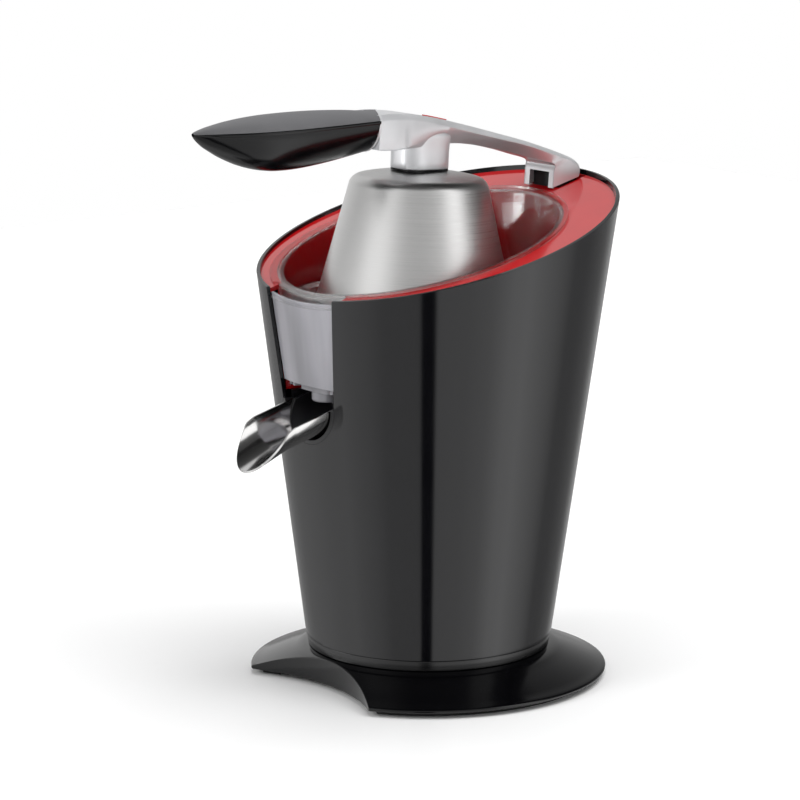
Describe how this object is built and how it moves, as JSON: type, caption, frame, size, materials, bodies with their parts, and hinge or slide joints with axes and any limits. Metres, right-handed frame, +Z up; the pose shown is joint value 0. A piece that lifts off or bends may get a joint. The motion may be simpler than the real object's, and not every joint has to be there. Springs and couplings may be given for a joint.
{
  "type": "citrus press juicer",
  "caption": "Lever press for halved citrus: a hinged arm lowers a steel dome on to a motor-driven ribbed cone in a clear bowl, which drains through a tilting spout at the front.",
  "frame": {"origin": "on the table under the middle of the round base", "axes": "+Z up, -Y towards the spout at the front, +Y towards the lever's hinge at the rear, +X to the right seen from behind the grip"},
  "size_m": [0.2102, 0.2776, 0.3395],
  "materials": {
    "body_black": "high gloss moulded black",
    "base_black": "high gloss moulded black",
    "band_black": "satin black",
    "foot_rubber": "matte",
    "inner_black": "fine matte",
    "red_panel": "high gloss red",
    "clear_bowl": "clear polished plastic",
    "smoke_strainer": "smooth",
    "cone_black": "smooth",
    "dome_steel": "circular brushed",
    "spout_steel": "polished",
    "lever_silver": "satin silver",
    "grip_soft": "soft touch",
    "grip_gloss": "gloss black",
    "button_red": "glossy red",
    "plain_steel": "machined",
    "cup_grey": "fine matte",
    "gear_nylon": "moulded nylon",
    "brass_bush": "turned",
    "frame_plastic": "moulded",
    "winding_copper": "enamelled winding"
  },
  "bodies": {
    "stand": {"foot_ring": "foot_rubber", "base_disc": "base_black", "base_plate": "inner_black", "base_screws": "plain_steel", "cord_inlet": "foot_rubber", "body_shell": "body_black", "trim_band": "band_black", "spout_bezel": "inner_black", "spout_chamber": "inner_black", "red_deck": "red_panel", "hinge_pedestal": "inner_black", "pedestal_screws": "plain_steel", "hinge_pin": "plain_steel", "juice_bowl": "clear_bowl", "strainer": "smoke_strainer", "strainer_ring": "cone_black", "idler_pin": "plain_steel", "yoke_spring": "plain_steel", "shaft_bushes": "brass_bush", "shaft_seal": "foot_rubber", "gearbox_housing": "frame_plastic", "gearbox_cover": "frame_plastic", "gearbox_screws": "plain_steel", "micro_switch": "inner_black", "motor_frame": "frame_plastic", "motor_can": "plain_steel", "motor_bell": "plain_steel", "stator": "winding_copper", "motor_bushes": "brass_bush", "terminal_block": "gear_nylon", "spout_pin": "plain_steel"},
    "lever": {"lever_arm": "lever_silver", "lever_neck": "lever_silver", "press_dome": "dome_steel", "dome_hub": "inner_black", "press_cup": "cup_grey", "grip_lower": "grip_gloss", "grip_upper": "grip_soft", "grip_screws": "plain_steel", "button_spring": "plain_steel"},
    "button": {"release_button": "button_red"},
    "pouring_spout": {"spout": "spout_steel", "spout_carrier": "inner_black"},
    "switch_slide": {"switch_yoke": "gear_nylon"},
    "juicing_drive": {"drive_shaft": "plain_steel", "output_gear": "gear_nylon", "juicing_cone": "cone_black"},
    "idler": {"idler_gear": "gear_nylon"},
    "rotor": {"rotor_core": "plain_steel", "motor_shaft": "plain_steel", "motor_pinion": "plain_steel"}
  },
  "joints": [
    {"name": "lever_hinge", "type": "hinge", "parent": "stand", "child": "lever", "pos_m": [0, 0.097, 0.289], "axis": [-1, 0, 0], "range_deg": [-2.8, 80]},
    {"name": "release_press", "type": "slide", "parent": "lever", "child": "button", "axis": [0, 0, -1], "range_m": [0, 0.002], "stiffness_N_per_m": 400, "springref_m": -0.001, "deforming": ["button_spring"]},
    {"name": "spout_tilt", "type": "hinge", "parent": "stand", "child": "pouring_spout", "pos_m": [0, -0.06, 0.168], "axis": [-1, 0, 0], "range_deg": [0, 18]},
    {"name": "cone_press", "type": "slide", "parent": "stand", "child": "switch_slide", "axis": [0, 0, -1], "range_m": [0, 0.0015], "stiffness_N_per_m": 4000, "springref_m": -0.0015, "deforming": ["yoke_spring"]},
    {"name": "cone_spin", "type": "hinge", "parent": "switch_slide", "child": "juicing_drive", "pos_m": [0, -0.007, 0.2], "axis": [0, 0, 1], "continuous": true},
    {"name": "idler_spin", "type": "hinge", "parent": "stand", "child": "idler", "pos_m": [0, 0.03675, 0.12], "axis": [0, 0, 1], "continuous": true},
    {"name": "motor_spin", "type": "hinge", "parent": "stand", "child": "rotor", "pos_m": [0, 0.00175, 0.07], "axis": [0, 0, 1], "continuous": true}
  ],
  "couplings": [
    {"joint": "idler_spin", "follows": "motor_spin", "ratio": -0.25},
    {"joint": "cone_spin", "follows": "motor_spin", "ratio": 0.0625}
  ]
}
